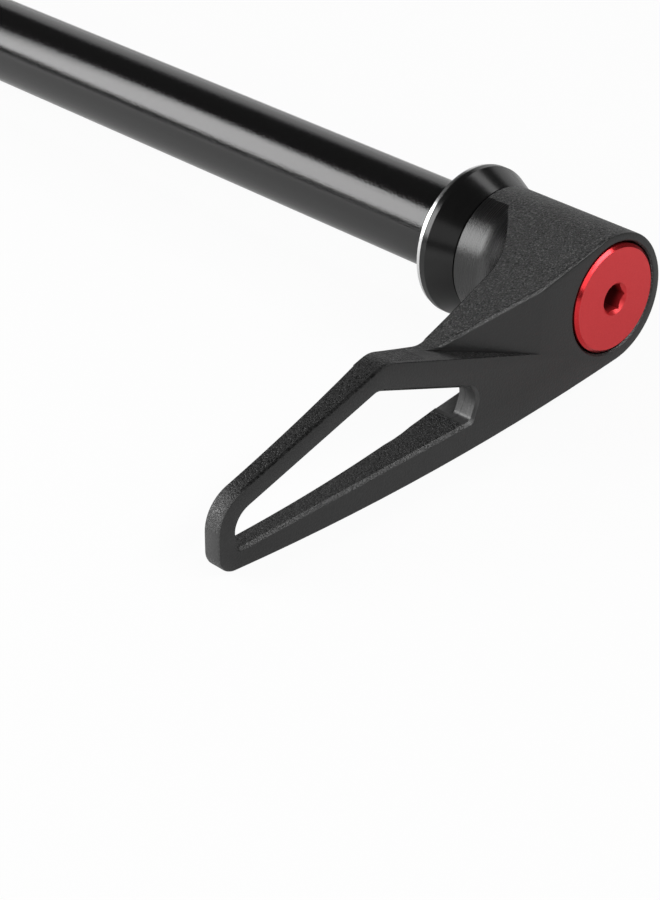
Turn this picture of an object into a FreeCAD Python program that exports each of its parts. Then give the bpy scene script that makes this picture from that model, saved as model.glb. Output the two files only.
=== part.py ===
import FreeCAD, Part
import math
import os
import re
import Sketcher

# Bicycle thru axle with a spring-loaded lever.
# Frame: the axle lies along X with the seat against the bicycle's frame at x = 0, the threaded tip at -X and
# the lever's barrel at +X. The lever points to -Y and Z is up. All sizes are millimetres and degrees.

doc = FreeCAD.newDocument("thru_axle")

# Driving dimensions, each set once
SIZES = {
    # shaft
    "shaft_dia": 12.0,
    "seat_to_tip": 162.0,
    "thread_length": 17.0,
    "thread_undersize": 0.12,
    "relief_depth": 0.6,
    "relief_width": 1.1,
    "nose_chamfer": 0.6,
    "tip_socket_flats": 6.0,
    "tip_socket_depth": 9.0,
    "tip_mouth_dia": 7.2,
    "core_bore_dia": 5.6,
    # collar journal and splined head of the shaft
    "journal_rise": 0.2,
    "head_shoulder": 0.45,
    "spline_depth": 0.6,
    "spline_width": 1.3,
    "spline_count": 16,
    "spline_clearance": 0.06,
    "stop_gap": 0.05,
    # seat washer, collar and its grip ring
    "washer_dia": 19.9,
    "washer_thickness": 0.5,
    "running_clearance": 0.05,
    "rim_dia": 20.3,
    "rim_width": 1.0,
    "rim_chamfer": 0.15,
    "collar_length": 4.5,
    "collar_floor": 1.7,
    "collar_inset": 0.1,
    "head_clearance": 0.2,
    "grip_section": 0.9,
    "grip_clearance": 0.05,
    # cap screw
    "cap_dia": 14.4,
    "cap_thickness": 2.4,
    "cap_proud": 0.3,
    "cap_chamfer": 0.4,
    "cap_socket_flats": 3.5,
    "cap_socket_depth": 4.0,
    "cap_mouth_dia": 4.4,
    "shank_dia": 8.0,
    "screw_dia": 6.0,
    "screw_length": 9.0,
    "screw_clearance": 0.05,
    "tap_allowance": 2.0,
    # spring and its seat
    "seat_thickness": 0.8,
    "seat_clearance": 0.1,
    "wire_width": 1.5,
    "wire_height": 1.0,
    "spring_turns": 4.5,
    "wire_clearance": 0.02,
    # lever: barrel
    "lever_gap": 0.15,
    "barrel_length": 19.5,
    "barrel_wall": 1.15,
    "cap_gap": 0.3,
    "spline_land": 4.35,
    "barrel_chamfer": 0.2,
    "eye_dia": 17.6,
    "eye_drop": 0.35,
    # lever: arm and turned back
    "lever_reach": 66.3,
    "tip_thickness": 2.5,
    "dish_reach": 63.0,
    "dish_radius": 212.0,
    "scoop_radius": 9.7,
    "scoop_angle": 9.0,
    "neck_rise": 0.04,
    # lever: rib
    "rib_angle": 12.8,
    "rib_slope_start": 13.2,
    "rib_slope": 10.5,
    # lever: finger loop
    "corner_out": 39.7,
    "corner_rise": 5.43,
    "upper_bar_angle": 17.8,
    "upper_bar_width": 3.6,
    "upper_bar_flare": 0.3,
    "tip_height": 8.48,
    "far_bar_width": 2.7,
    "tip_bar_width": 2.8,
    "lower_drop": 12.58,
    "lowest_out": 48.5,
    "lower_bar_width": 2.43,
    "window_rise": 1.8,
    "window_root": 23.6,
    "window_lean": 1.7,
    "corner_round": 4.5,
    "tip_round": 5.0,
    "toe_round": 2.5,
    "web_round": 5.0,
    "window_corner_round": 2.0,
    "window_tip_round": 2.8,
    "window_root_round": 2.4,
    "window_root_share": 0.55,  # most of the window's end that its root round takes
    "window_small_round": 0.8,
    "window_chamfer": 0.4,
    # lever: pocket behind the web, between the window and the barrel
    "web_thickness": 3.2,
    "relief_length": 5.0,
    "relief_overlap": 1.0,
    "relief_round": 0.9,
    "relief_round_share": 0.37,  # most of the pocket's end that a round takes
}

# Places and sizes that follow from the driving dimensions
LAYOUT = {
    # radii of the shaft
    "shaft_r": "shaft_dia / 2",
    "thread_r": "shaft_dia / 2 - thread_undersize",
    "relief_r": "shaft_dia / 2 - thread_undersize - relief_depth",
    "nose_r": "shaft_dia / 2 - thread_undersize - nose_chamfer",
    "core_r": "core_bore_dia / 2",
    "tip_mouth_r": "tip_mouth_dia / 2",
    "journal_r": "shaft_dia / 2 + journal_rise",
    "head_core_r": "shaft_dia / 2 + head_shoulder",
    "spline_r": "shaft_dia / 2 + head_shoulder + spline_depth",
    "spline_root_r": "shaft_dia / 2 + head_shoulder - spline_depth / 2",
    "spline_half": "spline_width / 2",
    # stations along the shaft
    "tip_x": "-seat_to_tip",
    "nose_x": "-seat_to_tip + nose_chamfer",
    "tip_mouth_x": "-seat_to_tip + (tip_mouth_dia - core_bore_dia) / 2",
    "thread_end_x": "-seat_to_tip + thread_length",
    "relief_x": "-seat_to_tip + thread_length + relief_width",
    "shoulder_x": "-seat_to_tip + thread_length + relief_width + thread_undersize + relief_depth",
    # stations of the head end
    "head_seat_x": "washer_thickness + collar_floor",
    "collar_end_x": "washer_thickness + collar_length",
    "rim_x": "washer_thickness + rim_width",
    "lever_back_x": "washer_thickness + collar_length + lever_gap",
    "chamber_x": "washer_thickness + collar_length + lever_gap + spline_land",
    "head_end_x": "washer_thickness + collar_length + lever_gap + spline_land - stop_gap",
    "head_length": "head_end_x - head_seat_x",
    "chamber_depth": "barrel_length - spline_land",
    "front_x": "washer_thickness + collar_length + lever_gap + barrel_length",
    "seat_top_x": "washer_thickness + collar_length + lever_gap + spline_land + seat_thickness",
    # collar and washer
    "bore_r": "journal_r + running_clearance",
    "washer_r": "washer_dia / 2",
    "rim_r": "rim_dia / 2",
    "rim_edge_r": "rim_dia / 2 - rim_chamfer",
    "rim_edge_x": "washer_thickness + rim_chamfer",
    "counterbore_r": "shaft_dia / 2 + head_shoulder + spline_depth + head_clearance",
    "grip_low_x": "washer_thickness + (collar_floor - grip_section) / 2",
    "grip_high_x": "washer_thickness + (collar_floor + grip_section) / 2",
    "grip_in_r": "journal_r + grip_clearance",
    "grip_out_r": "journal_r + grip_clearance + grip_section",
    "groove_low_x": "grip_low_x - grip_clearance",
    "groove_high_x": "grip_high_x + grip_clearance",
    "groove_r": "grip_out_r + grip_clearance",
    # barrel of the lever
    "chamber_r": "cap_dia / 2 + cap_gap",
    "barrel_r": "cap_dia / 2 + cap_gap + barrel_wall",
    "collar_narrow_r": "cap_dia / 2 + cap_gap + barrel_wall - collar_inset",
    "tooth_tip_r": "shaft_dia / 2 + head_shoulder + spline_clearance",
    "slot_r": "shaft_dia / 2 + head_shoulder + spline_depth + spline_clearance",
    "slot_half": "spline_width / 2 + spline_clearance",
    # cap screw
    "cap_r": "cap_dia / 2",
    "cap_edge_r": "cap_dia / 2 - cap_chamfer",
    "cap_face_x": "front_x + cap_proud",
    "cap_edge_x": "front_x + cap_proud - cap_chamfer",
    "cap_under_x": "front_x + cap_proud - cap_thickness",
    "cap_mouth_r": "cap_mouth_dia / 2",
    "cap_cone_x": "front_x + cap_proud - cap_mouth_dia / 2",
    "shank_r": "shank_dia / 2",
    "screw_r": "screw_dia / 2 - screw_clearance",
    "screw_end_x": "head_end_x - screw_length",
    "tap_r": "screw_dia / 2",
    "tap_end_x": "head_end_x - screw_length - tap_allowance",
    # spring and its seat
    "seat_hole_r": "shank_dia / 2 + seat_clearance",
    "seat_r": "chamber_r - seat_clearance",
    "coil_mid_r": "(shank_dia / 2 + chamber_r) / 2",
    "wire_in_r": "coil_mid_r - wire_width / 2",
    "wire_out_r": "coil_mid_r + wire_width / 2",
    "wire_low_x": "seat_top_x + wire_clearance",
    "wire_high_x": "seat_top_x + wire_clearance + wire_height",
    "spring_rise": "cap_under_x - seat_top_x - wire_height - 2 * wire_clearance",
    # turned back of the arm, as radius over X: a small scoop, then a wide dish tangent to it
    "neck_r": "barrel_r + neck_rise",
    "back_edge_r": "neck_r - barrel_chamfer",
    "back_edge_x": "lever_back_x + barrel_chamfer",
    "dish_x": "front_x - tip_thickness",
    "dish_sine": "(dish_reach - neck_r - scoop_radius * cos(scoop_angle)) / (dish_radius - scoop_radius)",
    "dish_cosine": "sqrt(1 - dish_sine^2)",
    "scoop_r": "dish_reach - dish_radius * dish_sine",
    "scoop_x": "dish_x - dish_radius * (1 - dish_cosine)",
    "neck_x": "scoop_x - scoop_radius * (dish_cosine - sin(scoop_angle))",
    "swing_r": "lever_reach + lower_drop",
    "clear_x": "lever_back_x - collar_length",
    # rib, a wall tangent to the barrel; Y and Z of its corners
    "rib_tangent_y": "-barrel_r * sin(rib_angle)",
    "rib_tangent_z": "barrel_r * cos(rib_angle)",
    "bar_top_at_axis": "corner_rise - tan(upper_bar_angle) * corner_out",
    "rib_end_y": "(bar_top_at_axis - barrel_r / cos(rib_angle)) / (tan(rib_angle) + tan(upper_bar_angle))",
    "rib_end_z": "bar_top_at_axis - tan(upper_bar_angle) * rib_end_y",
    "rib_low_z": "rib_end_z - upper_bar_width / 2",
    "root_y": "upper_bar_width - barrel_r",
    "bar_root_z": "bar_top_at_axis - tan(upper_bar_angle) * root_y",
    "rib_root_z": "bar_root_z - upper_bar_width / 2",
    "slope_start_y": "-rib_slope_start",
    "slope_end_y": "rib_end_y - upper_bar_width",
    "slope_end_x": "front_x - tan(rib_slope) * (-rib_end_y + upper_bar_width - rib_slope_start)",
    # finger loop: the lower edge is one long arc tangent to the eye, the ring round the barrel's front
    "eye_r": "eye_dia / 2",
    "eye_z": "-eye_drop",
    "eye_to_low": "lower_drop - eye_drop",
    "lower_arc_r": "(lowest_out^2 + eye_to_low^2 - eye_r^2) / (2 * (eye_to_low - eye_r))",
    "lower_arc_z": "lower_arc_r - lower_drop",
    "lower_arc_reach": "lower_arc_r - eye_r",
    "lower_end_y": "eye_r * lowest_out / lower_arc_reach",
    "lower_end_z": "-eye_drop - eye_r * (lower_arc_r - eye_to_low) / lower_arc_reach",
    "reach_y": "-lever_reach",
    "toe_z": "lower_arc_z - sqrt(lower_arc_r^2 - (lever_reach - lowest_out)^2)",
    "corner_y": "-corner_out",
    "corner_z": "corner_rise",
    "tip_top_z": "toe_z + tip_height",
    "far_bar_fall": "(corner_rise - tip_top_z) / (lever_reach - corner_out)",
    # window of the loop
    "far_bar_drop": "far_bar_width * sqrt(1 + far_bar_fall^2)",
    "upper_bar_drop": "upper_bar_width / cos(upper_bar_angle)",
    "window_corner_y": "-corner_out + (far_bar_drop - upper_bar_drop)"
                       " / (far_bar_fall + tan(upper_bar_angle))",
    "window_corner_z": "bar_top_at_axis - tan(upper_bar_angle) * window_corner_y"
                       " - upper_bar_drop",
    "window_tip_y": "-lever_reach + tip_bar_width",
    "window_tip_z": "tip_top_z + far_bar_fall * tip_bar_width - far_bar_drop",
    "window_toe_z": "toe_z + lower_bar_width",
    "window_heel_y": "-window_root - window_lean",
    "window_heel_z": "toe_z + lower_bar_width + window_rise",
    "window_root_y": "-window_root",
    "window_root_z": "bar_top_at_axis + tan(upper_bar_angle) * window_root - upper_bar_drop"
                     " - upper_bar_flare",
    "window_end": "sqrt(window_lean^2 + (window_root_z - window_heel_z)^2)",
    "window_root_r": "min(window_root_round; window_end * window_root_share)",
    # pocket behind the web, from inside the window towards the barrel
    "web_x": "front_x - web_thickness",
    "relief_toe_y": "window_heel_y - relief_overlap",
    "relief_top_y": "window_root_y - relief_overlap",
    "relief_heel_y": "window_heel_y + relief_length",
    "relief_root_y": "window_root_y + relief_length",
    "relief_root_z": "window_root_z - tan(upper_bar_angle) * relief_length",
    "relief_corner_r": "min(relief_round; (relief_root_z - window_heel_z) * relief_round_share)",
    "zero": "0",
}


def fill_sheet(name, cells):
    """A sheet with one named cell to a row."""
    sheet = doc.addObject("Spreadsheet::Sheet", name)
    for row, (alias, content) in enumerate(cells.items(), 1):
        sheet.set(f"A{row}", alias)
        sheet.set(f"B{row}", content)
        sheet.setAlias(f"B{row}", alias)
    return sheet


def with_sheet_names(formula):
    """Writes Sizes. in front of each driving dimension that a formula names."""
    return "=" + re.sub(r"[a-z]\w*", lambda word: ("Sizes." if word[0] in SIZES else "") + word[0], formula)


sizes = fill_sheet("Sizes", {alias: str(number) for alias, number in SIZES.items()})
layout = fill_sheet("Layout", {alias: with_sheet_names(formula) for alias, formula in LAYOUT.items()})
doc.recompute()


def bound(alias):
    """The expression that ties a property to a named cell."""
    return ("Sizes." if alias in SIZES else "Layout.") + alias


def at(alias):
    """The value of a named cell."""
    return float((sizes if alias in SIZES else layout).get(alias))


def new_body(label):
    body = doc.addObject("PartDesign::Body", label)
    body.Label = label
    return body


def new_sketch(body, name, role, offset=None):
    """A sketch on one of the body's origin planes, moved along its normal by a named distance."""
    sketch = body.newObject("Sketcher::SketchObject", name)
    plane = next(feature for feature in body.Origin.OriginFeatures if feature.Role == role)
    sketch.AttachmentSupport = (plane, [""])
    sketch.MapMode = "FlatFace"
    if offset:
        sketch.setExpression("AttachmentOffset.Base.z", bound(offset))
    return sketch


def tie(sketch, geometry, point, direction, alias):
    """Ties one coordinate of a point to a named cell."""
    value = at(alias)
    if value == 0:
        axis = -2 if direction == "DistanceX" else -1
        sketch.addConstraint(Sketcher.Constraint("PointOnObject", geometry, point, axis))
        return
    ends = (-1, 1, geometry, point) if value > 0 else (geometry, point, -1, 1)
    index = sketch.addConstraint(Sketcher.Constraint(direction, *ends, abs(value)))
    sketch.setExpression(f"Constraints[{index}]", bound(alias) if value > 0 else "-" + bound(alias))


def arc_between(start, end, radius, turn):
    """The short arc from start to end; turn is 1 for counterclockwise and -1 for clockwise."""
    chord = end - start
    height = math.sqrt(radius ** 2 - chord.Length ** 2 / 4)
    side = FreeCAD.Vector(-chord.y, chord.x, 0).normalize() * turn
    centre = (start + end) / 2 + side * height
    circle = Part.Circle(centre, FreeCAD.Vector(0, 0, 1), radius)
    first, last = (start, end) if turn > 0 else (end, start)
    angles = [math.atan2(p.y - centre.y, p.x - centre.x) for p in (first, last)]
    if angles[1] < angles[0]:
        angles[1] += 2 * math.pi
    return Part.ArcOfCircle(circle, *angles)


def outline(sketch, corners, arcs=None):
    """A closed outline through named corners. An entry i of arcs makes the side after corner i an arc,
    given by the name of its radius and its turn."""
    arcs = arcs or {}
    points = [FreeCAD.Vector(at(u), at(v), 0) for u, v in corners]
    ends = []
    for i, start in enumerate(points):
        end = points[(i + 1) % len(points)]
        if i in arcs:
            radius, turn = arcs[i]
            side = sketch.addGeometry(arc_between(start, end, at(radius), turn))
            index = sketch.addConstraint(Sketcher.Constraint("Radius", side, at(radius)))
            sketch.setExpression(f"Constraints[{index}]", bound(radius))
            ends.append((side, 1, 2) if turn > 0 else (side, 2, 1))
        else:
            ends.append((sketch.addGeometry(Part.LineSegment(start, end)), 1, 2))
    for i, (side, first, _) in enumerate(ends):
        before, _, last = ends[i - 1]
        sketch.addConstraint(Sketcher.Constraint("Coincident", before, last, side, first))
        tie(sketch, side, first, "DistanceX", corners[i][0])
        tie(sketch, side, first, "DistanceY", corners[i][1])


def circle(sketch, radius, height="zero"):
    """A circle of a named radius, centred on the axle or at a named height above it."""
    centre = FreeCAD.Vector(0, at(height), 0)
    ring = sketch.addGeometry(Part.Circle(centre, FreeCAD.Vector(0, 0, 1), at(radius)))
    index = sketch.addConstraint(Sketcher.Constraint("Radius", ring, at(radius)))
    sketch.setExpression(f"Constraints[{index}]", bound(radius))
    tie(sketch, ring, 3, "DistanceX", "zero")
    tie(sketch, ring, 3, "DistanceY", height)


def hexagon(sketch, flats):
    """A hexagon across named flats, with a flat on the top and the bottom."""
    reach = at(flats) / math.sqrt(3)
    turns = [math.radians(60 * i) for i in range(6)]
    points = [FreeCAD.Vector(reach * math.cos(turn), reach * math.sin(turn), 0) for turn in turns]
    sides = [sketch.addGeometry(Part.LineSegment(points[i], points[(i + 1) % 6])) for i in range(6)]
    guide = sketch.addGeometry(Part.Circle(FreeCAD.Vector(0, 0, 0), FreeCAD.Vector(0, 0, 1), reach), True)
    sketch.addConstraint(Sketcher.Constraint("Coincident", guide, 3, -1, 1))
    for i, side in enumerate(sides):
        sketch.addConstraint(Sketcher.Constraint("Coincident", sides[i - 1], 2, side, 1))
        sketch.addConstraint(Sketcher.Constraint("PointOnObject", side, 1, guide))
        if i:
            sketch.addConstraint(Sketcher.Constraint("Equal", sides[0], side))
    sketch.addConstraint(Sketcher.Constraint("PointOnObject", sides[0], 1, -1))
    index = sketch.addConstraint(Sketcher.Constraint("Radius", guide, reach))
    sketch.setExpression(f"Constraints[{index}]", bound(flats) + " / sqrt(3)")


def feature(body, kind, name, profile, **settings):
    """A feature on a profile. A setting that names a cell is bound to it."""
    made = body.newObject("PartDesign::" + kind, name)
    made.Profile = profile
    for key, setting in settings.items():
        if isinstance(setting, str) and (setting in SIZES or setting in LAYOUT):
            made.setExpression(key, bound(setting))
        else:
            setattr(made, key, setting)
    doc.recompute()
    return made


def cut(body, kind, name, profile, **settings):
    """A feature that takes material away, and stops if it takes none."""
    before = body.Shape.Volume
    made = feature(body, kind, name, profile, **settings)
    if not body.Shape.Volume < before:
        raise RuntimeError(f"{name} cuts nothing from {body.Label}")
    return made


def turned(label, profile):
    """A body turned about the axle, from its half section as X and radius."""
    body = new_body(label)
    sketch = new_sketch(body, label + "_section", "XY_Plane")
    outline(sketch, profile)
    feature(body, "Revolution", label + "_turned", sketch, ReferenceAxis=(sketch, ["H_Axis"]), Angle=360)
    return body


def around_axle(body, name, original):
    """Repeats a spline tooth or slot round the axle."""
    pattern = body.newObject("PartDesign::PolarPattern", name)
    pattern.Originals = [original]
    pattern.Axis = (original.Profile[0], ["N_Axis"])
    pattern.Angle = 360
    pattern.setExpression("Occurrences", bound("spline_count"))
    body.Tip = pattern
    doc.recompute()
    return pattern


def edge_at(body, y, z):
    """The name of the straight edge along X that passes a named point."""
    for index, edge in enumerate(body.Shape.Edges, 1):
        ends = [vertex.Point for vertex in edge.Vertexes]
        if len(ends) == 2 and all(math.hypot(p.y - at(y), p.z - at(z)) < 1e-3 for p in ends):
            return f"Edge{index}"
    raise RuntimeError(f"no edge at {y}, {z} on {body.Label}")


def round_edges(body, name, radius, *places):
    """Rounds the edges along X at the named places."""
    base = body.Tip
    edges = [edge_at(body, y, z) for y, z in places]
    made = body.newObject("PartDesign::Fillet", name)
    made.Base = (base, edges)
    made.setExpression("Radius", bound(radius))
    doc.recompute()


def front_edge(body, first, second):
    """The name of the edge of the front face that passes half way between two named corners."""
    y, z = [(at(first[i]) + at(second[i])) / 2 for i in range(2)]
    middle = Part.Vertex(at("front_x"), y, z)
    for index, edge in enumerate(body.Shape.Edges, 1):
        if edge.distToShape(middle)[0] < 1e-4:
            return f"Edge{index}"
    raise RuntimeError(f"no front edge between {first} and {second} on {body.Label}")


def ring_edge(body, x, radius):
    """The name of the full round edge about the axle at a named station and radius."""
    for index, edge in enumerate(body.Shape.Edges, 1):
        ring = edge.Curve
        if isinstance(ring, Part.Circle) and edge.isClosed() and abs(ring.Center.x - at(x)) < 1e-4 \
                and abs(ring.Radius - at(radius)) < 1e-4:
            return f"Edge{index}"
    raise RuntimeError(f"no ring at {x}, {radius} on {body.Label}")


def chamfer_edges(body, name, size, *edges):
    """Breaks edges by a named size. Edges that run smoothly into each other go as one."""
    base = body.Tip
    made = body.newObject("PartDesign::Chamfer", name)
    made.Base = (base, list(edges))
    made.setExpression("Size", bound(size))
    doc.recompute()


def build_shaft():
    """The shaft with its thread's cylinder, collar journal, splined head and tip socket."""
    body = turned("axle_shaft", [
        ("tip_x", "tip_mouth_r"), ("tip_x", "nose_r"), ("nose_x", "thread_r"), ("thread_end_x", "thread_r"),
        ("thread_end_x", "relief_r"), ("relief_x", "relief_r"), ("shoulder_x", "shaft_r"),
        ("zero", "shaft_r"), ("zero", "journal_r"), ("head_seat_x", "journal_r"),
        ("head_seat_x", "head_core_r"), ("head_end_x", "head_core_r"), ("head_end_x", "tap_r"),
        ("tap_end_x", "tap_r"), ("tap_end_x", "core_r"), ("tip_mouth_x", "core_r"),
    ])
    tooth = new_sketch(body, "tooth_section", "YZ_Plane", "head_seat_x")
    tooth_outline(tooth, "spline_half", "spline_root_r", "spline_r")
    one = feature(body, "Pad", "spline_tooth", tooth, Length="head_length")
    around_axle(body, "spline_teeth", one)
    socket = new_sketch(body, "tip_socket_section", "YZ_Plane", "tip_x")
    hexagon(socket, "tip_socket_flats")
    cut(body, "Pocket", "tip_socket", socket, Length="tip_socket_depth", Reversed=True)
    return body


def tooth_outline(sketch, half_width, inner, outer):
    """A rectangle centred on the sketch's upright axis."""
    corners = [(-at(half_width), at(inner)), (at(half_width), at(inner)),
               (at(half_width), at(outer)), (-at(half_width), at(outer))]
    points = [FreeCAD.Vector(u, v, 0) for u, v in corners]
    sides = [sketch.addGeometry(Part.LineSegment(points[i], points[(i + 1) % 4])) for i in range(4)]
    for i, side in enumerate(sides):
        sketch.addConstraint(Sketcher.Constraint("Coincident", sides[i - 1], 2, side, 1))
    sketch.addConstraint(Sketcher.Constraint("Horizontal", sides[2]))
    for side in sides[1::2]:
        sketch.addConstraint(Sketcher.Constraint("Vertical", side))
    sketch.addConstraint(Sketcher.Constraint("Symmetric", sides[0], 1, sides[0], 2, -2))
    tie(sketch, sides[1], 1, "DistanceX", half_width)
    tie(sketch, sides[1], 1, "DistanceY", inner)
    tie(sketch, sides[2], 1, "DistanceY", outer)


def build_washer():
    return turned("seat_washer", [
        ("zero", "bore_r"), ("zero", "washer_r"),
        ("washer_thickness", "washer_r"), ("washer_thickness", "bore_r"),
    ])


def build_collar():
    """The cone between washer and barrel; the shaft's head seats on the floor of its counterbore."""
    return turned("cone_collar", [
        ("washer_thickness", "bore_r"), ("washer_thickness", "rim_edge_r"), ("rim_edge_x", "rim_r"),
        ("rim_x", "rim_r"), ("collar_end_x", "collar_narrow_r"), ("collar_end_x", "counterbore_r"),
        ("head_seat_x", "counterbore_r"), ("head_seat_x", "bore_r"), ("groove_high_x", "bore_r"),
        ("groove_high_x", "groove_r"), ("groove_low_x", "groove_r"), ("groove_low_x", "bore_r"),
    ])


def build_grip_ring():
    """The square-cut rubber ring in the collar's groove."""
    return turned("grip_ring", [
        ("grip_low_x", "grip_in_r"), ("grip_low_x", "grip_out_r"),
        ("grip_high_x", "grip_out_r"), ("grip_high_x", "grip_in_r"),
    ])


def build_cap_screw():
    """Cap, shank and screw in one turned piece, with a countersunk hex socket."""
    body = turned("cap_screw", [
        ("screw_end_x", "zero"), ("screw_end_x", "screw_r"), ("head_end_x", "screw_r"),
        ("head_end_x", "shank_r"), ("cap_under_x", "shank_r"), ("cap_under_x", "cap_r"),
        ("cap_edge_x", "cap_r"), ("cap_face_x", "cap_edge_r"), ("cap_face_x", "cap_mouth_r"),
        ("cap_cone_x", "zero"),
    ])
    socket = new_sketch(body, "cap_socket_section", "YZ_Plane", "cap_face_x")
    hexagon(socket, "cap_socket_flats")
    cut(body, "Pocket", "cap_socket", socket, Length="cap_socket_depth")
    return body


def build_spring_seat():
    return turned("spring_seat", [
        ("chamber_x", "seat_hole_r"), ("chamber_x", "seat_r"),
        ("seat_top_x", "seat_r"), ("seat_top_x", "seat_hole_r"),
    ])


def build_spring():
    """The flat-wire coil between its seat and the cap's underside."""
    body = new_body("return_spring")
    section = new_sketch(body, "wire_section", "XY_Plane")
    outline(section, [("wire_low_x", "wire_in_r"), ("wire_high_x", "wire_in_r"),
                      ("wire_high_x", "wire_out_r"), ("wire_low_x", "wire_out_r")])
    feature(body, "AdditiveHelix", "spring_coil", section, ReferenceAxis=(section, ["H_Axis"]),
            Mode="height-turns-angle", Height="spring_rise", Turns="spring_turns", Angle=0)
    return body


def build_lever():
    """Barrel, rib and finger loop in one piece, then its turned back and its bore."""
    body = new_body("lever")
    rib = new_sketch(body, "rib_outline", "YZ_Plane", "lever_back_x")
    outline(rib, [("rib_tangent_y", "rib_tangent_z"), ("rib_end_y", "rib_end_z"), ("rib_end_y", "rib_low_z"),
                  ("root_y", "rib_root_z"), ("zero", "zero")])
    feature(body, "Pad", "rib", rib, Length="barrel_length")
    slope = new_sketch(body, "rib_slope_section", "XY_Plane")
    outline(slope, [("front_x", "slope_start_y"), ("slope_end_x", "slope_end_y"),
                    ("front_x", "slope_end_y")])
    cut(body, "Pocket", "rib_front_slope", slope, Type="ThroughAll", SideType="Symmetric")

    loop = new_sketch(body, "loop_outline", "YZ_Plane", "lever_back_x")
    outline(loop, [("root_y", "bar_root_z"), ("corner_y", "corner_z"), ("reach_y", "tip_top_z"),
                   ("reach_y", "toe_z"), ("lower_end_y", "lower_end_z"), ("zero", "zero")],
            arcs={3: ("lower_arc_r", 1)})
    feature(body, "Pad", "loop", loop, Length="barrel_length")
    round_edges(body, "loop_corner", "corner_round", ("corner_y", "corner_z"))
    round_edges(body, "tip_corner", "tip_round", ("reach_y", "tip_top_z"))
    round_edges(body, "toe_corner", "toe_round", ("reach_y", "toe_z"))
    round_edges(body, "web_corner", "web_round", ("rib_end_y", "rib_end_z"))

    window = new_sketch(body, "window_outline", "YZ_Plane", "front_x")
    outline(window, [("window_corner_y", "window_corner_z"), ("window_tip_y", "window_tip_z"),
                     ("window_tip_y", "window_toe_z"), ("window_heel_y", "window_heel_z"),
                     ("window_root_y", "window_root_z")])
    cut(body, "Pocket", "window", window, Type="ThroughAll")
    round_edges(body, "window_corner", "window_corner_round", ("window_corner_y", "window_corner_z"))
    round_edges(body, "window_tip", "window_tip_round", ("window_tip_y", "window_tip_z"))
    round_edges(body, "window_root", "window_root_r", ("window_root_y", "window_root_z"))
    round_edges(body, "window_toes", "window_small_round", ("window_tip_y", "window_toe_z"),
                ("window_heel_y", "window_heel_z"))

    lower_side = front_edge(body, ("window_tip_y", "window_toe_z"), ("window_heel_y", "window_heel_z"))
    chamfer_edges(body, "window_chamfer", "window_chamfer", lower_side)

    relief = new_sketch(body, "relief_outline", "YZ_Plane", "web_x")
    outline(relief, [("relief_top_y", "window_root_z"), ("relief_toe_y", "window_heel_z"),
                     ("relief_heel_y", "window_heel_z"), ("relief_root_y", "relief_root_z"),
                     ("window_root_y", "window_root_z")])
    cut(body, "Pocket", "web_relief", relief, Type="ThroughAll")
    round_edges(body, "relief_corners", "relief_corner_r", ("relief_heel_y", "window_heel_z"),
                ("relief_root_y", "relief_root_z"))

    barrel = new_sketch(body, "barrel_outline", "YZ_Plane", "lever_back_x")
    circle(barrel, "barrel_r")
    feature(body, "Pad", "barrel", barrel, Length="barrel_length")
    eye = new_sketch(body, "eye_outline", "YZ_Plane", "lever_back_x")
    circle(eye, "eye_r", "eye_z")
    feature(body, "Pad", "eye", eye, Length="barrel_length")

    back = new_sketch(body, "back_section", "XY_Plane")
    outline(back, [("clear_x", "back_edge_r"), ("lever_back_x", "back_edge_r"), ("back_edge_x", "neck_r"),
                   ("neck_x", "neck_r"), ("scoop_x", "scoop_r"), ("dish_x", "dish_reach"),
                   ("dish_x", "swing_r"), ("clear_x", "swing_r")],
            arcs={3: ("scoop_radius", 1), 4: ("dish_radius", 1)})
    cut(body, "Groove", "turned_back", back, ReferenceAxis=(back, ["H_Axis"]), Angle=360)

    chamber = new_sketch(body, "chamber_outline", "YZ_Plane", "front_x")
    circle(chamber, "chamber_r")
    cut(body, "Pocket", "spring_chamber", chamber, Length="chamber_depth")
    bore = new_sketch(body, "bore_outline", "YZ_Plane", "chamber_x")
    circle(bore, "tooth_tip_r")
    cut(body, "Pocket", "spline_bore", bore, Length="spline_land")
    slot = new_sketch(body, "slot_section", "YZ_Plane", "chamber_x")
    tooth_outline(slot, "slot_half", "shaft_r", "slot_r")
    one = cut(body, "Pocket", "spline_slot", slot, Length="spline_land")
    around_axle(body, "spline_slots", one)
    chamfer_edges(body, "chamber_mouth", "barrel_chamfer", ring_edge(body, "front_x", "chamber_r"))
    return body


pieces = [build_shaft(), build_washer(), build_collar(), build_grip_ring(), build_lever(),
          build_spring_seat(), build_spring(), build_cap_screw()]
doc.recompute()

for item in doc.Objects:
    if "Invalid" in item.State or "Error" in item.State:
        raise RuntimeError(f"{item.Label} failed: {item.State}")
for piece in pieces:
    if piece.Shape.isNull() or not piece.Shape.isValid():
        raise RuntimeError(f"{piece.Label} has no valid shape")

os.makedirs("parts", exist_ok=True)
for piece in pieces:
    piece.Shape.exportStep(f"parts/{piece.Label}.step")
    box = piece.Shape.BoundBox
    spans = [(box.XMin, box.XMax), (box.YMin, box.YMax), (box.ZMin, box.ZMax)]
    written = ", ".join(f"{low:.2f} to {high:.2f}" for low, high in spans)
    print(f"{piece.Label}: {len(piece.Shape.Solids)} solid, {piece.Shape.Volume:.1f} mm3, {written}")
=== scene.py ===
import math

import bpy
from mathutils import Matrix, Vector


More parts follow.
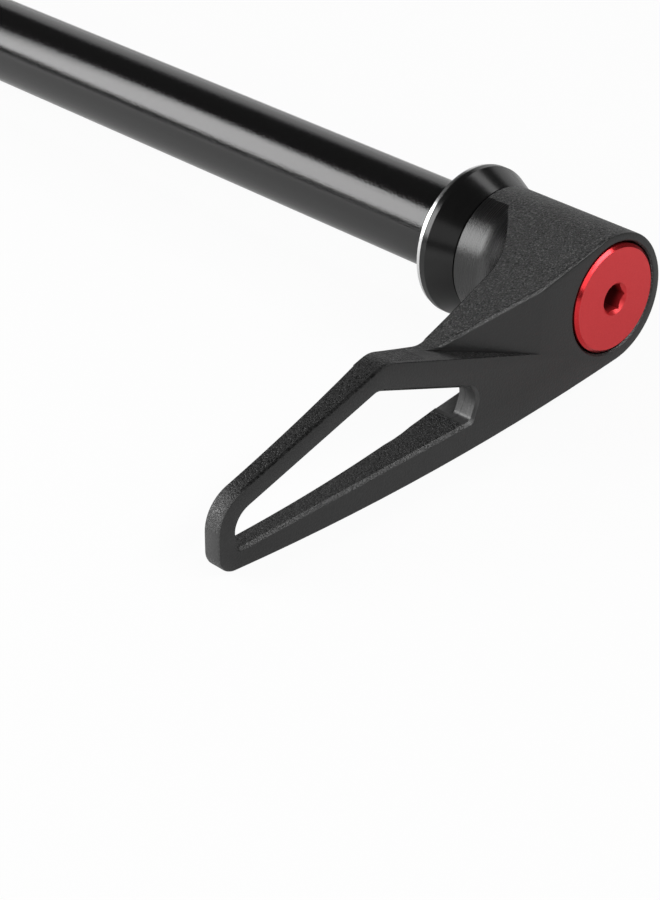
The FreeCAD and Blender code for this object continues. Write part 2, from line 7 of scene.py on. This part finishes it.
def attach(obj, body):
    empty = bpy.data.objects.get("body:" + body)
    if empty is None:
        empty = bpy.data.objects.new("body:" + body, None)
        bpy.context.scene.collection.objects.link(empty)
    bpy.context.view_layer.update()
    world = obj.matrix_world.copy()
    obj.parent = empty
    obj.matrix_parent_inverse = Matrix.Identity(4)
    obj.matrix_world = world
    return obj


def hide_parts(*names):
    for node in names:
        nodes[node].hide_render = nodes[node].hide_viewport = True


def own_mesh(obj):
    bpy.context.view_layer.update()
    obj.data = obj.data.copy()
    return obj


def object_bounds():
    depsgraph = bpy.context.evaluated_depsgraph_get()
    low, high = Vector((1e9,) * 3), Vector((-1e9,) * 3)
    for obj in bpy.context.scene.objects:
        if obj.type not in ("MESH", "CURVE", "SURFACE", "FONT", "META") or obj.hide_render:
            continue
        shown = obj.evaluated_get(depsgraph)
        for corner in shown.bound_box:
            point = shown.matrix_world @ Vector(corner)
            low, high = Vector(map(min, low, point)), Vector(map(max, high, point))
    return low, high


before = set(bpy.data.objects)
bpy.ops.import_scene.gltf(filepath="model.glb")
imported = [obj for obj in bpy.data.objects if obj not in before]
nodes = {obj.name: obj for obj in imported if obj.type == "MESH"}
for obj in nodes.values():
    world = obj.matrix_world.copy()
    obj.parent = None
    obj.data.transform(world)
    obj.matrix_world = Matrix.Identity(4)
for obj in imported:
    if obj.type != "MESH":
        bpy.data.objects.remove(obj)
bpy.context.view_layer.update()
MM = 0.001

# Stations are in millimetres: x along the axle, y and z across it, r out from its middle line.
# The thread is one groove, wound from beyond the tip to its run-out over the relief.
THREAD_ROOT_R = 5.34
THREAD_TOP_R = 5.97
THREAD_MIDDLE_R = (THREAD_ROOT_R + THREAD_TOP_R) / 2
THREAD_PITCH = 1.0
THREAD_TURNS = 19
THREAD_END_X = -144.4
THREAD_ROOT_WIDTH = 0.25
THREAD_TOP_WIDTH = 0.98
THREAD_FADE_X = (-142.9, -143.4)
CREST_FADE_R = (5.72, 5.86)
STEPS_A_TURN = 64

# The flat-wire spring, and the cap that it pushes against.
WIRE_WIDTH = 1.5
WIRE_HEIGHT = 1.0
WIRE_ROUND = 0.18
COIL_MIDDLE_R = 5.75
COIL_START_X = 10.82
COIL_END_X = 22.03
COIL_TURNS = 4.5
CAP_FACE_R = 6.82
CAP_SOCKET_R = 2.6
# Stations over which painted shade deepens down the cap's socket.
SOCKET_SHADE_FADE_X = (24.75, 23.2)

# The lever's turned back: neck, small scoop and wide dish, as its lathe profile.
FRONT_X = 24.65
BARREL_R = 8.65
NECK_R = 8.69
TIP_THICKNESS = 2.5
DISH_REACH = 63.0
DISH_R = 212.0
SCOOP_R = 9.7
SCOOP_ANGLE = math.radians(9)
SCOOP_MIDDLE_R = NECK_R + SCOOP_R * math.cos(SCOOP_ANGLE)
DISH_SLOPE = math.asin((DISH_REACH - SCOOP_MIDDLE_R) / (DISH_R - SCOOP_R))
DISH_MIDDLE_X = FRONT_X - TIP_THICKNESS - DISH_R
DISH_START_R = DISH_REACH - DISH_R * math.sin(DISH_SLOPE)
SCOOP_MIDDLE_X = DISH_MIDDLE_X + (DISH_R - SCOOP_R) * math.cos(DISH_SLOPE)
NECK_X = SCOOP_MIDDLE_X + SCOOP_R * math.sin(SCOOP_ANGLE)

# The rib, whose front face falls back from the front plane between two stations, and the far bar.
RIB_ANGLE = math.radians(12.8)
RIB_SLOPE = math.radians(10.5)
RIB_START_Y = -13.2
RIB_END_Y = -33.0
RIB_FOOT_Z = 1.5
FAR_BAR_Y = -39.7
FAR_BAR_Z = 5.43
FAR_BAR_FALL = 0.358

# The lever's edges, broken outside the barrel's rim, with a flat along the rib's ridge.
EDGE_ROUND = 0.2
RIDGE_ROUND = 0.3
RIDGE_START_Y = -2.0
RIDGE_END_Y = -28.5
RIDGE_BACK_X = 0.8 * FRONT_X
RIDGE_MARGIN = 0.05
OUTSIDE_R = BARREL_R - 0.35
CORNER_ANGLE = math.radians(55)
FLAT_ANGLE = math.radians(0.3)
WELD_GAP = 0.0005

# Angles below which neighbouring faces shade as one surface.
LEVER_SMOOTH = math.radians(24)
SHAFT_SMOOTH = math.radians(28)
SPRING_SMOOTH = math.radians(40)

# Where the lever's finishes and its painted light and shade start and stop. A pair is a fade from its first
# station to its second.
NECK_FADE_Y = (-2.9, -3.6)
# The window's end wall, painted lighter where the side softbox falls on it.
WINDOW_END_FADE_Y = (-27.0, -26.2)
WINDOW_END_STOP_Y = -18
WINDOW_END_LOW_Z = -8.9
WINDOW_END_HIGH_Z = -2
# The far bar's outer wall: rubbed smoother, and given painted shade by thinning its painted glints.
FAR_WALL_IN_Y = (-37, -40)
FAR_WALL_OUT_Y = (-63.5, -60)
FAR_WALL_DEPTH = 1
LOOP_FADE_Y = (-26, -31)
WORN_FADE_Y = (-61.5, -65.0)
TIP_END_Y = -66.25
EDGE_BAND = 0.45

# How near a point lies to a machined face to carry that face's finish.
TURNED_MARGIN = 0.08
NECK_MARGIN = 0.02
SLOPE_MARGIN = 0.06
FRONT_MARGIN = 0.03

# The studio, in metres. The lamps aim at the lever end.
FLOOR_EDGE = 4
FLOOR_WHITE_SEEN = 0.94
FLOOR_WHITE_MIRRORED = 0.1
WORLD_LIGHT = 0.05
LAMP_TARGET = Vector((0.005, -0.015, 0))
LAMPS = (
    # name, direction from the target, distance, width and height, radiance
    ("side_softbox", (-0.66, -0.68, 0.42), 0.45, (0.36, 0.26), 5.8),
    ("top_softbox", (-0.01, 0.53, 0.85), 0.6, (0.2, 0.14), 2.6),
    ("high_softbox", (0.67, 0.13, 0.74), 0.6, (0.56, 0.12), 7.5),
    ("front_softbox", (0.78, -0.4, 0.49), 0.7, (0.4, 0.4), 1.6),
    ("left_card", (0.15, -0.9, 0.4), 0.7, (0.5, 0.35), 0.6),
    ("back_card", (-0.5, 0.78, 0.26), 0.9, (1.0, 0.52), 0.7),
)
SENSOR_HEIGHT_MM = 36.0
FOCAL_LENGTH_MM = 108.8
CAMERA_NEAR = 0.01
CAMERA_PLACE = Vector((0.2194, -0.2365, 0.1518))
CAMERA_UP = Vector((-0.3571, 0.3436, 0.8686))
CAMERA_BACK = Vector((0.6259, -0.6023, 0.4955))


class Field:
    """A value that changes over a surface: one socket, whose operators add Math nodes."""

    def __init__(self, finish, socket):
        self.finish = finish
        self.socket = socket

    def __add__(self, other):
        return self.finish.maths("ADD", self, other)

    def __radd__(self, other):
        return self.finish.maths("ADD", other, self)

    def __sub__(self, other):
        return self.finish.maths("SUBTRACT", self, other)

    def __rsub__(self, other):
        return self.finish.maths("SUBTRACT", other, self)

    def __mul__(self, other):
        return self.finish.maths("MULTIPLY", self, other)

    def __rmul__(self, other):
        return self.finish.maths("MULTIPLY", other, self)

    def __pow__(self, other):
        return self.finish.maths("POWER", self, other)

    def __gt__(self, other):
        return self.finish.maths("GREATER_THAN", self, other)

    def __lt__(self, other):
        return self.finish.maths("LESS_THAN", self, other)


class Finish:
    """One material, built node by node on the part's own coordinates in millimetres."""

    def __init__(self, name):
        self.material = bpy.data.materials.new(name)
        self.material.use_nodes = True
        self.nodes = self.material.node_tree.nodes
        self.links = self.material.node_tree.links
        self.shader = self.nodes["Principled BSDF"]
        metres = self.add("ShaderNodeTexCoord")["Object"]
        self.place = self.add("ShaderNodeVectorMath", {"operation": "SCALE"},
                              {"Vector": metres, "Scale": 1 / MM})["Vector"]
        axes = self.add("ShaderNodeSeparateXYZ", {}, {"Vector": self.place})
        self.x, self.y, self.z = axes["X"], axes["Y"], axes["Z"]
        self.r = (self.y * self.y + self.z * self.z) ** 0.5

    def add(self, kind, settings=None, sockets=None):
        """Adds a node, sets it up, then fills its sockets; gives its outputs by name."""
        node = self.nodes.new(kind)
        for name, value in (settings or {}).items():
            setattr(node, name, value)
        for name, value in (sockets or {}).items():
            self.fill(self.socket(node, name), value)
        return {out.name: Field(self, out) for out in node.outputs if out.enabled}

    def socket(self, node, name):
        """A node's input by its number, or the one in use of those that share a name."""
        if isinstance(name, int):
            return node.inputs[name]
        return next(socket for socket in node.inputs if socket.name == name and socket.enabled)

    def fill(self, socket, value):
        """Links a field to a socket, or sets a plain value on it."""
        if isinstance(value, Field):
            self.links.new(value.socket, socket)
        else:
            socket.default_value = value

    def maths(self, operation, *values):
        return self.add("ShaderNodeMath", {"operation": operation}, dict(enumerate(values)))["Value"]

    def ramp(self, value, start, end):
        """0 where the value is at start, 1 at end, smooth between."""
        return self.add("ShaderNodeMapRange", {"interpolation_type": "SMOOTHSTEP"},
                        {"Value": value, "From Min": start, "From Max": end})["Result"]

    def noise(self, scale, detail=2.0, stretch=(1, 1, 1), vector=None):
        """Cloudy noise of about 1/scale millimetres, drawn out along an axis by a small stretch."""
        spread = self.add("ShaderNodeVectorMath", {"operation": "MULTIPLY"},
                          {0: vector or self.place, 1: stretch})["Vector"]
        return self.add("ShaderNodeTexNoise", {},
                        {"Vector": spread, "Scale": scale, "Detail": detail})["Fac"]

    def lathe_lines(self, scale, run=1.0):
        """Fine rings left by a turning tool: noise of x and radius, the same all round."""
        rings = self.add("ShaderNodeCombineXYZ", {}, {"X": self.x * run, "Y": self.r, "Z": 0.0})["Vector"]
        return self.noise(scale, vector=rings)

    def blend(self, mask, first, second):
        """The first colour where the mask is 0, the second where it is 1."""
        return self.add("ShaderNodeMix", {"data_type": "RGBA"},
                        {"Factor": mask, "A": first, "B": second})["Result"]

    def bump(self, height, depth_mm):
        """The surface's normal, tilted by a height of which 1 stands for a depth in millimetres."""
        return self.add("ShaderNodeBump", {},
                        {"Height": height, "Distance": depth_mm * MM, "Strength": 1.0})["Normal"]

    def shade(self, **sockets):
        """Fills the shader's sockets and gives the finished material."""
        for name, value in sockets.items():
            self.fill(self.shader.inputs[name.replace("_", " ")], value)
        return self.material


def grey(level):
    return (level, level, level, 1.0)


BLACK_DYE_DARK = grey(0.002)
BLACK_DYE_LIGHT = grey(0.006)


def gloss_black_anodised():
    """Dyed, sealed skin on a drawn tube: near black, with pores, faint drawing lines and handling marks."""
    f = Finish("gloss_black_anodised")
    pores = f.noise(4.2, detail=3.0)
    drawn = f.noise(1.0, stretch=(0.04, 7.0, 7.0))
    marks = f.noise(0.16, detail=3.0)
    thread = f.ramp(f.x, *THREAD_FADE_X)
    fresh = thread * f.ramp(f.r, *CREST_FADE_R)
    bare_crest = grey(0.12)
    colour = f.blend(pores, BLACK_DYE_DARK, BLACK_DYE_LIGHT)
    colour = f.blend(fresh * 0.3, colour, bare_crest)
    return f.shade(Base_Color=colour, Roughness=0.07 + 0.06 * pores + 0.04 * marks + 0.08 * thread,
                   Normal=f.bump(pores + drawn * 0.3, depth_mm=0.022), IOR=1.6)


def turned_black_anodised():
    """The same skin on the turned collar, with the tool's fine rings showing through."""
    f = Finish("turned_black_anodised")
    rings = f.lathe_lines(7.0)
    pores = f.noise(5.0, detail=3.0)
    colour = f.blend(rings, BLACK_DYE_DARK, BLACK_DYE_LIGHT)
    return f.shade(Base_Color=colour, Roughness=0.18 + 0.08 * rings,
                   Normal=f.bump(rings + pores * 0.5, depth_mm=0.008), IOR=1.5)


def turned_zone(f):
    """1 on the lever's back, where the lathe turned its dish, scoop and neck."""
    in_scoop = f.r < DISH_START_R
    middle_r = DISH_REACH + in_scoop * (SCOOP_MIDDLE_R - DISH_REACH)
    middle_x = DISH_MIDDLE_X + in_scoop * (SCOOP_MIDDLE_X - DISH_MIDDLE_X)
    sweep = DISH_R + in_scoop * (SCOOP_R - DISH_R)
    inward = f.maths("MAXIMUM", 0.0, middle_r - f.r)
    turned_x = middle_x + f.maths("MAXIMUM", 0.0, sweep * sweep - inward * inward) ** 0.5
    back = (f.x < turned_x + TURNED_MARGIN) * (f.r > NECK_R - NECK_MARGIN)
    neck = (f.x < NECK_X) * (f.r < NECK_R + NECK_MARGIN) * f.ramp(f.y, *NECK_FADE_Y)
    return f.maths("MAXIMUM", back, neck)


def blasted_black_anodised():
    """Bead-blasted lever with a grain and painted glints, a finely milled front face and a turned back;
    painted shade on the far bar's wall and painted light on the window's end wall.
    """
    f = Finish("blasted_black_anodised")
    grain = f.ramp(f.noise(3.4), 0.36, 0.64)
    # Specks where a painted highlight stands in for glints of light off the blasted grain.
    painted_glint_specks = f.ramp(f.noise(4.2, detail=1.0), 0.54, 0.7)
    clouds = f.noise(0.22, detail=3.0)
    milled = f.noise(1.0, stretch=(1.0, 6.0, 0.5))
    planed = f.noise(1.0, stretch=(6.0, 0.5, 0.5))
    rings = f.lathe_lines(6.0)
    fine = f.noise(5.0)

    turned = turned_zone(f)
    slope_x = FRONT_X - math.tan(RIB_SLOPE) * f.maths("MAXIMUM", 0.0, RIB_START_Y - f.y)
    ramped = (f.maths("ABSOLUTE", f.x - slope_x) < SLOPE_MARGIN) * (f.y > RIB_END_Y)
    front = f.maths("MAXIMUM", f.x > FRONT_X - FRONT_MARGIN, ramped) * (1 - turned)
    sides = (1 - front) * (1 - turned)
    window_end = (f.ramp(f.y, *WINDOW_END_FADE_Y) * (f.y < WINDOW_END_STOP_Y)
                  * (f.z > WINDOW_END_LOW_Z) * (f.z < WINDOW_END_HIGH_Z) * sides)
    rough = sides * (1 - window_end)
    far_wall_z = FAR_BAR_Z + FAR_BAR_FALL * (f.y - FAR_BAR_Y)
    # The far bar's outer wall: rubbed smoother, and given painted shade by thinning its painted glints
    # there.
    rubbed_shaded_wall = (f.ramp(f.y, *FAR_WALL_IN_Y) * f.ramp(f.y, *FAR_WALL_OUT_Y)
              * (f.z > far_wall_z - FAR_WALL_DEPTH) * rough)
    loop = f.ramp(f.y, *LOOP_FADE_Y)
    worn = f.ramp(f.y, *WORN_FADE_Y) * rough
    face_x = FRONT_X - (f.y > RIB_END_Y) * (f.z > RIB_FOOT_Z) * (FRONT_X - slope_x)
    edge = (face_x - f.x < EDGE_BAND) * sides * (1 - worn)
    smooth_end = f.y < TIP_END_Y

    # Painted highlight: a light grey painted into the specks as glints.
    painted_glint = grey(0.13)
    colour = f.blend(grain, grey(0.001), grey(0.018))
    # The painted glints are thinned on the loop, and on the far bar's outer wall as painted shade.
    colour = f.blend(painted_glint_specks * (0.8 - 0.5 * loop - 0.25 * rubbed_shaded_wall), colour, painted_glint)
    colour = f.blend(worn, colour, f.blend(grain * (1 - smooth_end), grey(0.045), grey(0.07)))
    colour = f.blend(front, colour, f.blend(milled, grey(0.004), grey(0.01)))
    # Painted light: the window's end wall faces the side softbox and is painted a lighter grey than the
    # other blasted sides, with planing streaks.
    colour = f.blend(window_end, colour, f.blend(planed, grey(0.02), grey(0.07)))
    colour = f.blend(turned, colour, f.blend(rings, grey(0.002), grey(0.008)))
    roughness = (rough * (0.36 + 0.12 * clouds - 0.08 * edge) + front * (0.38 + 0.1 * milled)
                 + window_end * (0.26 + 0.16 * planed) + turned * (0.22 + 0.1 * rings))
    blasted = (rough * grain * (1 - 0.3 * loop) * (1 - 0.5 * rubbed_shaded_wall)
               * (1 - 0.8 * smooth_end) * (1 - 0.8 * edge))
    relief = (blasted + front * (0.04 * milled + 0.08 * grain) + window_end * planed * 0.15
              + turned * (0.1 * rings + 0.2 * fine))
    return f.shade(Base_Color=colour, Roughness=roughness, Normal=f.bump(relief, depth_mm=0.12), IOR=1.57)


def red_anodised():
    """Bright dyed cap: satin face with faint turning rings, cleaner on its rim, with painted shade
    darkening its socket.
    """
    f = Finish("red_anodised")
    rings = f.lathe_lines(5.0)
    pores = f.noise(4.5, detail=3.0)
    socket_painted_shade = (0.05, 0.004, 0.005, 1.0)
    colour = f.blend(pores, (0.68, 0.027, 0.034, 1.0), (0.78, 0.043, 0.05, 1.0))
    # Painted shade: the socket's inside is darkened towards its bottom, where shade falls.
    socket = f.ramp(f.x, *SOCKET_SHADE_FADE_X) * (f.r < CAP_SOCKET_R)
    colour = f.blend(socket * 0.9, colour, socket_painted_shade)
    rim = f.r > CAP_FACE_R
    return f.shade(Base_Color=colour, Roughness=0.3 + 0.1 * rings - 0.16 * rim, Metallic=0.45 + 0.4 * rim,
                   Normal=f.bump(rings * 0.6 + pores * 0.4, depth_mm=0.012))


def bright_steel():
    """Bare ground steel, with the grinding rings and a few duller patches."""
    f = Finish("bright_steel")
    rings = f.lathe_lines(8.0)
    dull = f.noise(0.5, detail=3.0)
    colour = f.blend(dull, grey(0.72), grey(0.86))
    return f.shade(Base_Color=colour, Roughness=0.16 + 0.12 * rings + 0.1 * dull, Metallic=1.0,
                   Normal=f.bump(rings, depth_mm=0.006))


def spring_steel():
    """Oiled flat spring wire: dark grey metal with lines drawn along the coil."""
    f = Finish("spring_steel")
    drawn = f.lathe_lines(6.0, run=0.1)
    blue = f.noise(0.4)
    colour = f.blend(blue, (0.2, 0.2, 0.21, 1.0), (0.3, 0.29, 0.28, 1.0))
    return f.shade(Base_Color=colour, Roughness=0.28 + 0.15 * drawn, Metallic=1.0,
                   Normal=f.bump(drawn, depth_mm=0.008))


def black_rubber():
    """Moulded rubber ring: dull black with a dusty bloom."""
    f = Finish("black_rubber")
    bloom = f.noise(0.8, detail=4.0)
    skin = f.noise(9.0)
    colour = f.blend(bloom, grey(0.012), grey(0.03))
    return f.shade(Base_Color=colour, Roughness=0.62 + 0.2 * skin, Normal=f.bump(skin, depth_mm=0.02))


def alone(piece):
    """Leaves one piece selected and active."""
    bpy.ops.object.select_all(action="DESELECT")
    piece.select_set(True)
    bpy.context.view_layer.objects.active = piece


def select_points(piece, test):
    """In edit mode, selects the vertices whose place passes the test."""
    bpy.ops.mesh.select_mode(type="VERT")
    bpy.ops.mesh.select_all(action="DESELECT")
    bpy.ops.object.mode_set(mode="OBJECT")
    for vertex in piece.data.vertices:
        vertex.select = test(vertex.co)
    bpy.ops.object.mode_set(mode="EDIT")


def wire_section(name, x, r, width, height):
    """A rectangle of bare edges across x and radius, left in edit mode, ready to be wound."""
    middle = (x * MM, 0, r * MM)
    bpy.ops.object.select_all(action="DESELECT")
    bpy.ops.mesh.primitive_plane_add(size=MM, location=middle, rotation=(math.pi / 2, 0, 0))
    section = bpy.context.object
    section.name = section.data.name = name
    bpy.ops.object.transform_apply(location=True, rotation=True, scale=True)
    bpy.ops.object.mode_set(mode="EDIT")
    bpy.ops.mesh.select_all(action="SELECT")
    bpy.ops.mesh.delete(type="ONLY_FACE")
    bpy.ops.mesh.select_all(action="SELECT")
    bpy.ops.transform.resize(value=(width, 1, height), center_override=middle)
    return section


def wind(section, turns, length):
    """Winds a section round the axle's middle line and closes both of its ends."""
    bpy.ops.object.mode_set(mode="OBJECT")
    alone(section)
    winding = section.modifiers.new("winding", "SCREW")
    winding.axis = "X"
    winding.angle = turns * math.tau
    winding.screw_offset = length * MM
    winding.steps = winding.render_steps = round(turns * STEPS_A_TURN)
    winding.use_smooth_shade = True
    bpy.ops.object.modifier_apply(modifier="winding")
    bpy.ops.object.mode_set(mode="EDIT")
    bpy.ops.mesh.select_all(action="SELECT")
    bpy.ops.mesh.fill_holes(sides=0)
    bpy.ops.mesh.select_all(action="SELECT")
    bpy.ops.mesh.normals_make_consistent(inside=False)
    bpy.ops.object.mode_set(mode="OBJECT")


def merged_copy(node, name):
    """A copy of a CAD node with its triangles joined into one skin."""
    piece = nodes[node].copy()
    piece.data = nodes[node].data.copy()
    piece.name = piece.data.name = name
    for key in list(piece.keys()):
        del piece[key]
    piece.parent = None
    bpy.context.collection.objects.link(piece)
    alone(piece)
    bpy.ops.mesh.customdata_custom_splitnormals_clear()
    bpy.ops.object.mode_set(mode="EDIT")
    bpy.ops.mesh.select_all(action="SELECT")
    bpy.ops.mesh.remove_doubles(threshold=WELD_GAP * MM)
    bpy.ops.object.mode_set(mode="OBJECT")
    return piece


def on_ridge(place):
    """True along the rib's upper front edge, from the barrel to the finger loop."""
    y, z = place.y / MM, place.z / MM
    rib_z = BARREL_R / math.cos(RIB_ANGLE) + math.tan(RIB_ANGLE) * y
    on_rib = RIDGE_END_Y < y < RIDGE_START_Y and abs(z - rib_z) < RIDGE_MARGIN
    return on_rib and place.x > RIDGE_BACK_X * MM


def everywhere(place):
    return True


def break_corners(piece, width, segments, chosen):
    """Bevels the lever's sharp outward corners outside the barrel's rim, where their middle is chosen."""
    sides = {}
    for face in piece.data.polygons:
        for key in face.edge_keys:
            sides.setdefault(key, []).append(face)
    bpy.ops.object.mode_set(mode="EDIT")
    bpy.ops.mesh.select_mode(type="EDGE")
    bpy.ops.mesh.select_all(action="DESELECT")
    bpy.ops.object.mode_set(mode="OBJECT")
    for edge in piece.data.edges:
        first, second = sides[edge.key]
        start, end = (piece.data.vertices[i].co for i in edge.vertices)
        middle = (start + end) / 2
        outward = (second.center - first.center).dot(first.normal) < 0
        sharp = first.normal.angle(second.normal) > CORNER_ANGLE
        outside = math.hypot(middle.y, middle.z) > OUTSIDE_R * MM
        edge.select = sharp and outward and outside and chosen(middle)
    bpy.ops.object.mode_set(mode="EDIT")
    bpy.ops.mesh.bevel(offset=width * MM, segments=segments, affect="EDGES")
    bpy.ops.object.mode_set(mode="OBJECT")


def make_lever():
    """The CAD lever with its outer edges broken, as tumbling and blasting leave them."""
    lever = merged_copy("lever", "finger_lever")
    bpy.ops.object.mode_set(mode="EDIT")
    bpy.ops.mesh.select_all(action="SELECT")
    bpy.ops.mesh.dissolve_limited(angle_limit=FLAT_ANGLE)
    bpy.ops.object.mode_set(mode="OBJECT")
    break_corners(lever, RIDGE_ROUND, 1, on_ridge)
    break_corners(lever, EDGE_ROUND, 2, everywhere)
    bpy.ops.object.shade_smooth_by_angle(angle=LEVER_SMOOTH)
    return lever


def make_shaft():
    """The CAD shaft with its thread cut as a real helix, which runs out over the relief."""
    shaft = merged_copy("axle_shaft", "threaded_shaft")
    length = THREAD_TURNS * THREAD_PITCH
    depth = THREAD_TOP_R - THREAD_ROOT_R
    groove = wire_section("thread_groove", THREAD_END_X - length, THREAD_MIDDLE_R, THREAD_TOP_WIDTH, depth)
    select_points(groove, lambda place: place.z < THREAD_MIDDLE_R * MM)
    bpy.ops.transform.resize(value=(THREAD_ROOT_WIDTH / THREAD_TOP_WIDTH, 1, 1))
    wind(groove, THREAD_TURNS, length)
    alone(shaft)
    cut = shaft.modifiers.new("thread", "BOOLEAN")
    cut.operation = "DIFFERENCE"
    cut.solver = "EXACT"
    cut.object = groove
    bpy.ops.object.modifier_apply(modifier="thread")
    bpy.data.objects.remove(groove)
    bpy.ops.object.shade_smooth_by_angle(angle=SHAFT_SMOOTH)
    return shaft


def make_spring():
    """Flat-wire coil spring with eased corners."""
    spring = wire_section("flat_wire_spring", COIL_START_X, COIL_MIDDLE_R, WIRE_HEIGHT, WIRE_WIDTH)
    bpy.ops.mesh.select_all(action="SELECT")
    bpy.ops.mesh.bevel(offset=WIRE_ROUND * MM, segments=2, affect="VERTICES")
    wind(spring, COIL_TURNS, COIL_END_X - COIL_START_X)
    bpy.ops.object.shade_smooth_by_angle(angle=SPRING_SMOOTH)
    return spring


def lay_floor():
    """Pale studio floor: near white to the eye, a little lifted in reflections, and shaded by the axle."""
    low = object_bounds()[0].z
    bpy.ops.object.select_all(action="DESELECT")
    bpy.ops.mesh.primitive_plane_add(size=FLOOR_EDGE, location=(0, 0, low))
    floor = bpy.context.object
    floor.name = "studio_floor"
    f = Finish("pale_floor")
    tone = f.noise(0.01)
    f.shade(Base_Color=f.blend(tone, grey(0.88), grey(0.92)), Roughness=0.9)
    rays = f.add("ShaderNodeLightPath")
    mirrored = rays["Is Glossy Ray"] + rays["Is Transmission Ray"]
    seen = rays["Is Camera Ray"] * FLOOR_WHITE_SEEN + mirrored * FLOOR_WHITE_MIRRORED
    white = f.add("ShaderNodeEmission", {}, {"Color": grey(1.0), "Strength": 1.0})["Emission"]
    plain = Field(f, f.shader.outputs["BSDF"])
    mixed = f.add("ShaderNodeMixShader", {},
                  {0: f.maths("MINIMUM", FLOOR_WHITE_SEEN, seen), 1: plain, 2: white})["Shader"]
    f.links.new(mixed.socket, f.nodes["Material Output"].inputs["Surface"])
    floor.data.materials.append(f.material)


def hang_lamp(name, direction, distance, size, radiance):
    """A rectangular lamp of a width and height in metres, aimed at the lever end."""
    width, height = size
    lamp = bpy.data.lights.new(name, "AREA")
    lamp.shape = "RECTANGLE"
    lamp.size, lamp.size_y = width, height
    lamp.energy = radiance * math.pi * width * height
    holder = bpy.data.objects.new(name, lamp)
    bpy.context.scene.collection.objects.link(holder)
    towards = Vector(direction).normalized()
    holder.location = LAMP_TARGET + towards * distance
    holder.rotation_euler = towards.to_track_quat("Z", "Y").to_euler()


def light_world():
    """A faint even light from all round."""
    world = bpy.data.worlds.new("studio")
    world.use_nodes = True
    sky = world.node_tree.nodes["Background"].inputs
    sky["Color"].default_value = grey(1.0)
    sky["Strength"].default_value = WORLD_LIGHT
    bpy.context.scene.world = world


def place_camera():
    """A long lens that looks at the lever end from in front, above and to one side."""
    lens = bpy.data.cameras.new("camera")
    lens.sensor_fit = "VERTICAL"
    lens.sensor_height = SENSOR_HEIGHT_MM
    lens.lens = FOCAL_LENGTH_MM
    lens.clip_start = CAMERA_NEAR
    camera = bpy.data.objects.new("camera", lens)
    bpy.context.scene.collection.objects.link(camera)
    right = CAMERA_UP.cross(CAMERA_BACK)
    turn = Matrix((right, CAMERA_UP, CAMERA_BACK)).transposed().to_4x4()
    camera.matrix_world = Matrix.Translation(CAMERA_PLACE) @ turn
    bpy.context.scene.camera = camera


shaft = make_shaft()
shaft.material_slots[0].material = gloss_black_anodised()
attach(shaft, "axle")
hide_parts("axle_shaft")

spring = make_spring()
spring.data.materials.append(spring_steel())
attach(spring, "axle")
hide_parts("return_spring")
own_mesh(spring)

lever = make_lever()
lever.material_slots[0].material = blasted_black_anodised()
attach(lever, "lever_arm")
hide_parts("lever")

steel = bright_steel()
finishes = {
    "cone_collar": turned_black_anodised(),
    "cap_screw": red_anodised(),
    "seat_washer": steel,
    "spring_seat": steel,
    "grip_ring": black_rubber(),
}
for name, material in finishes.items():
    nodes[name].material_slots[0].material = material

lay_floor()
for lamp in LAMPS:
    hang_lamp(*lamp)
light_world()
place_camera()
bpy.context.scene.view_settings.view_transform = "Standard"
